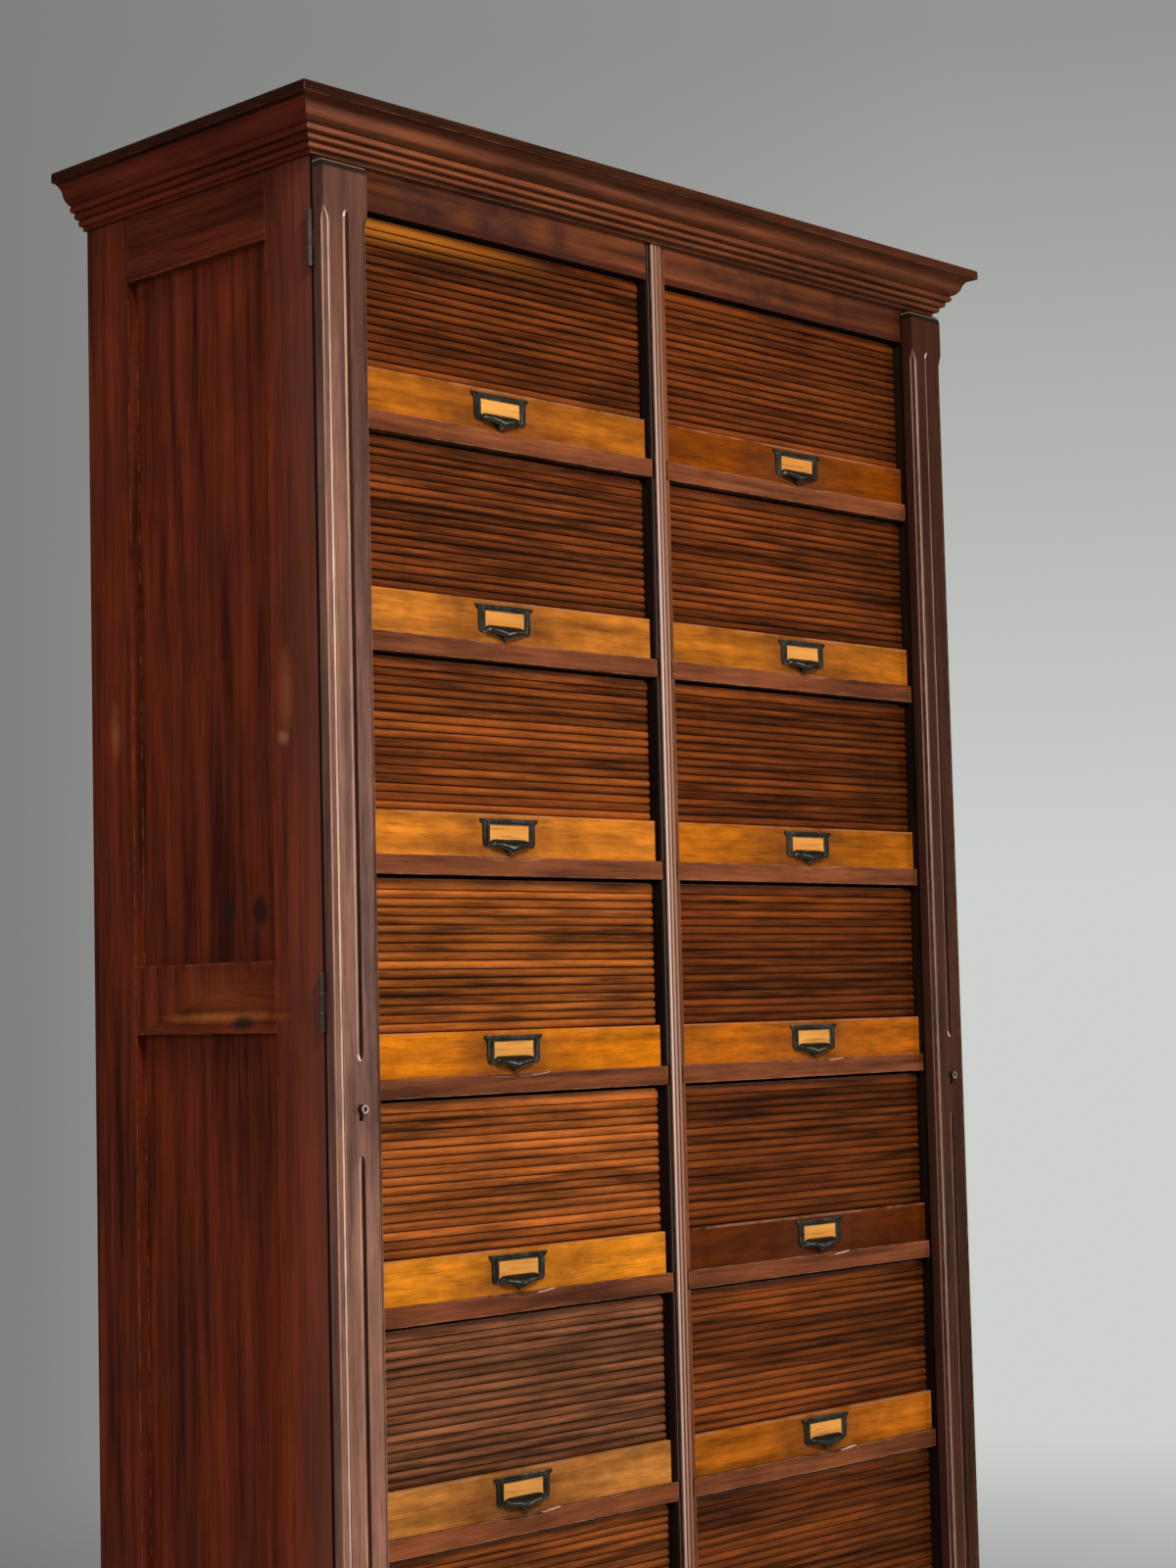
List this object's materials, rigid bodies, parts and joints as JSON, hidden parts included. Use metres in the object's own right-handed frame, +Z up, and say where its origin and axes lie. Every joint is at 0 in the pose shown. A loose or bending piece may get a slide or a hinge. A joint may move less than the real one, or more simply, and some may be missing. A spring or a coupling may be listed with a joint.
{
  "type": "roll-front filing cabinet",
  "caption": "Tall wooden filing cabinet with two columns of roll-front drawers, a moulded cornice and hinged pilasters that lock the drawers.",
  "frame": {"origin": "bottom centre of the whole cabinet's bounding box, on the floor", "axes": "+X to the right, +Y to the back, +Z up; the drawers open towards -Y"},
  "size_m": [0.884, 0.337, 1.639],
  "materials": {
    "case_wood": "worn french polish on mahogany",
    "curtain_wood": "worn polish, dark grooves",
    "drawer_wood": "satin polish",
    "bronze": "dark aged bronze",
    "brass": "dull aged brass"
  },
  "bodies": {
    "case": {"side_left": "case_wood", "side_right": "case_wood", "drawer_walls": "case_wood", "carcass_boards": "case_wood", "front_rails": "case_wood", "cornice": "case_wood", "plinth": "case_wood", "hinge_leaves": "brass"},
    "pilaster_left": {"pilaster_left": "case_wood", "fittings_left": "brass"},
    "pilaster_right": {"pilaster_right": "case_wood", "fittings_right": "brass"},
    "drawer_left_1": {"drawer_left_1": "drawer_wood", "pull_left_1": "bronze"},
    "curtain_left_1": {"curtain_left_1": "curtain_wood"},
    "drawer_left_2": {"drawer_left_2": "drawer_wood", "pull_left_2": "bronze"},
    "curtain_left_2": {"curtain_left_2": "curtain_wood"},
    "drawer_left_3": {"drawer_left_3": "drawer_wood", "pull_left_3": "bronze"},
    "curtain_left_3": {"curtain_left_3": "curtain_wood"},
    "drawer_left_4": {"drawer_left_4": "drawer_wood", "pull_left_4": "bronze"},
    "curtain_left_4": {"curtain_left_4": "curtain_wood"},
    "drawer_left_5": {"drawer_left_5": "drawer_wood", "pull_left_5": "bronze"},
    "curtain_left_5": {"curtain_left_5": "curtain_wood"},
    "drawer_left_6": {"drawer_left_6": "drawer_wood", "pull_left_6": "bronze"},
    "curtain_left_6": {"curtain_left_6": "curtain_wood"},
    "drawer_left_7": {"drawer_left_7": "drawer_wood", "pull_left_7": "bronze"},
    "curtain_left_7": {"curtain_left_7": "curtain_wood"},
    "drawer_left_8": {"drawer_left_8": "drawer_wood", "pull_left_8": "bronze"},
    "curtain_left_8": {"curtain_left_8": "curtain_wood"},
    "drawer_right_1": {"drawer_right_1": "drawer_wood", "pull_right_1": "bronze"},
    "curtain_right_1": {"curtain_right_1": "curtain_wood"},
    "drawer_right_2": {"drawer_right_2": "drawer_wood", "pull_right_2": "bronze"},
    "curtain_right_2": {"curtain_right_2": "curtain_wood"},
    "drawer_right_3": {"drawer_right_3": "drawer_wood", "pull_right_3": "bronze"},
    "curtain_right_3": {"curtain_right_3": "curtain_wood"},
    "drawer_right_4": {"drawer_right_4": "drawer_wood", "pull_right_4": "bronze"},
    "curtain_right_4": {"curtain_right_4": "curtain_wood"},
    "drawer_right_5": {"drawer_right_5": "drawer_wood", "pull_right_5": "bronze"},
    "curtain_right_5": {"curtain_right_5": "curtain_wood"},
    "drawer_right_6": {"drawer_right_6": "drawer_wood", "pull_right_6": "bronze"},
    "curtain_right_6": {"curtain_right_6": "curtain_wood"},
    "drawer_right_7": {"drawer_right_7": "drawer_wood", "pull_right_7": "bronze"},
    "curtain_right_7": {"curtain_right_7": "curtain_wood"},
    "drawer_right_8": {"drawer_right_8": "drawer_wood", "pull_right_8": "bronze"},
    "curtain_right_8": {"curtain_right_8": "curtain_wood"}
  },
  "joints": [
    {"name": "pilaster_left_hinge", "type": "hinge", "parent": "case", "child": "pilaster_left", "pos_m": [-0.40765, -0.1323, 0.84], "axis": [0, 0, -1], "range_deg": [0, 170]},
    {"name": "pilaster_right_hinge", "type": "hinge", "parent": "case", "child": "pilaster_right", "pos_m": [0.40765, -0.1323, 0.84], "axis": [0, 0, 1], "range_deg": [0, 170]},
    {"name": "drawer_left_1_slide", "type": "slide", "parent": "case", "child": "drawer_left_1", "axis": [0, -1, 0], "range_m": [0, 0.235]},
    {"name": "curtain_left_1_roll", "type": "slide", "parent": "drawer_left_1", "child": "curtain_left_1", "axis": [0, 0, 1], "range_m": [0, 0.112], "deforming": ["curtain_left_1"]},
    {"name": "drawer_left_2_slide", "type": "slide", "parent": "case", "child": "drawer_left_2", "axis": [0, -1, 0], "range_m": [0, 0.235]},
    {"name": "curtain_left_2_roll", "type": "slide", "parent": "drawer_left_2", "child": "curtain_left_2", "axis": [0, 0, 1], "range_m": [0, 0.112], "deforming": ["curtain_left_2"]},
    {"name": "drawer_left_3_slide", "type": "slide", "parent": "case", "child": "drawer_left_3", "axis": [0, -1, 0], "range_m": [0, 0.235]},
    {"name": "curtain_left_3_roll", "type": "slide", "parent": "drawer_left_3", "child": "curtain_left_3", "axis": [0, 0, 1], "range_m": [0, 0.112], "deforming": ["curtain_left_3"]},
    {"name": "drawer_left_4_slide", "type": "slide", "parent": "case", "child": "drawer_left_4", "axis": [0, -1, 0], "range_m": [0, 0.235]},
    {"name": "curtain_left_4_roll", "type": "slide", "parent": "drawer_left_4", "child": "curtain_left_4", "axis": [0, 0, 1], "range_m": [0, 0.112], "deforming": ["curtain_left_4"]},
    {"name": "drawer_left_5_slide", "type": "slide", "parent": "case", "child": "drawer_left_5", "axis": [0, -1, 0], "range_m": [0, 0.235]},
    {"name": "curtain_left_5_roll", "type": "slide", "parent": "drawer_left_5", "child": "curtain_left_5", "axis": [0, 0, 1], "range_m": [0, 0.112], "deforming": ["curtain_left_5"]},
    {"name": "drawer_left_6_slide", "type": "slide", "parent": "case", "child": "drawer_left_6", "axis": [0, -1, 0], "range_m": [0, 0.235]},
    {"name": "curtain_left_6_roll", "type": "slide", "parent": "drawer_left_6", "child": "curtain_left_6", "axis": [0, 0, 1], "range_m": [0, 0.112], "deforming": ["curtain_left_6"]},
    {"name": "drawer_left_7_slide", "type": "slide", "parent": "case", "child": "drawer_left_7", "axis": [0, -1, 0], "range_m": [0, 0.235]},
    {"name": "curtain_left_7_roll", "type": "slide", "parent": "drawer_left_7", "child": "curtain_left_7", "axis": [0, 0, 1], "range_m": [0, 0.112], "deforming": ["curtain_left_7"]},
    {"name": "drawer_left_8_slide", "type": "slide", "parent": "case", "child": "drawer_left_8", "axis": [0, -1, 0], "range_m": [0, 0.235]},
    {"name": "curtain_left_8_roll", "type": "slide", "parent": "drawer_left_8", "child": "curtain_left_8", "axis": [0, 0, 1], "range_m": [0, 0.112], "deforming": ["curtain_left_8"]},
    {"name": "drawer_right_1_slide", "type": "slide", "parent": "case", "child": "drawer_right_1", "axis": [0, -1, 0], "range_m": [0, 0.235]},
    {"name": "curtain_right_1_roll", "type": "slide", "parent": "drawer_right_1", "child": "curtain_right_1", "axis": [0, 0, 1], "range_m": [0, 0.112], "deforming": ["curtain_right_1"]},
    {"name": "drawer_right_2_slide", "type": "slide", "parent": "case", "child": "drawer_right_2", "axis": [0, -1, 0], "range_m": [0, 0.235]},
    {"name": "curtain_right_2_roll", "type": "slide", "parent": "drawer_right_2", "child": "curtain_right_2", "axis": [0, 0, 1], "range_m": [0, 0.112], "deforming": ["curtain_right_2"]},
    {"name": "drawer_right_3_slide", "type": "slide", "parent": "case", "child": "drawer_right_3", "axis": [0, -1, 0], "range_m": [0, 0.235]},
    {"name": "curtain_right_3_roll", "type": "slide", "parent": "drawer_right_3", "child": "curtain_right_3", "axis": [0, 0, 1], "range_m": [0, 0.112], "deforming": ["curtain_right_3"]},
    {"name": "drawer_right_4_slide", "type": "slide", "parent": "case", "child": "drawer_right_4", "axis": [0, -1, 0], "range_m": [0, 0.235]},
    {"name": "curtain_right_4_roll", "type": "slide", "parent": "drawer_right_4", "child": "curtain_right_4", "axis": [0, 0, 1], "range_m": [0, 0.112], "deforming": ["curtain_right_4"]},
    {"name": "drawer_right_5_slide", "type": "slide", "parent": "case", "child": "drawer_right_5", "axis": [0, -1, 0], "range_m": [0, 0.235]},
    {"name": "curtain_right_5_roll", "type": "slide", "parent": "drawer_right_5", "child": "curtain_right_5", "axis": [0, 0, 1], "range_m": [0, 0.112], "deforming": ["curtain_right_5"]},
    {"name": "drawer_right_6_slide", "type": "slide", "parent": "case", "child": "drawer_right_6", "axis": [0, -1, 0], "range_m": [0, 0.235]},
    {"name": "curtain_right_6_roll", "type": "slide", "parent": "drawer_right_6", "child": "curtain_right_6", "axis": [0, 0, 1], "range_m": [0, 0.112], "deforming": ["curtain_right_6"]},
    {"name": "drawer_right_7_slide", "type": "slide", "parent": "case", "child": "drawer_right_7", "axis": [0, -1, 0], "range_m": [0, 0.235]},
    {"name": "curtain_right_7_roll", "type": "slide", "parent": "drawer_right_7", "child": "curtain_right_7", "axis": [0, 0, 1], "range_m": [0, 0.112], "deforming": ["curtain_right_7"]},
    {"name": "drawer_right_8_slide", "type": "slide", "parent": "case", "child": "drawer_right_8", "axis": [0, -1, 0], "range_m": [0, 0.235]},
    {"name": "curtain_right_8_roll", "type": "slide", "parent": "drawer_right_8", "child": "curtain_right_8", "axis": [0, 0, 1], "range_m": [0, 0.112], "deforming": ["curtain_right_8"]}
  ]
}
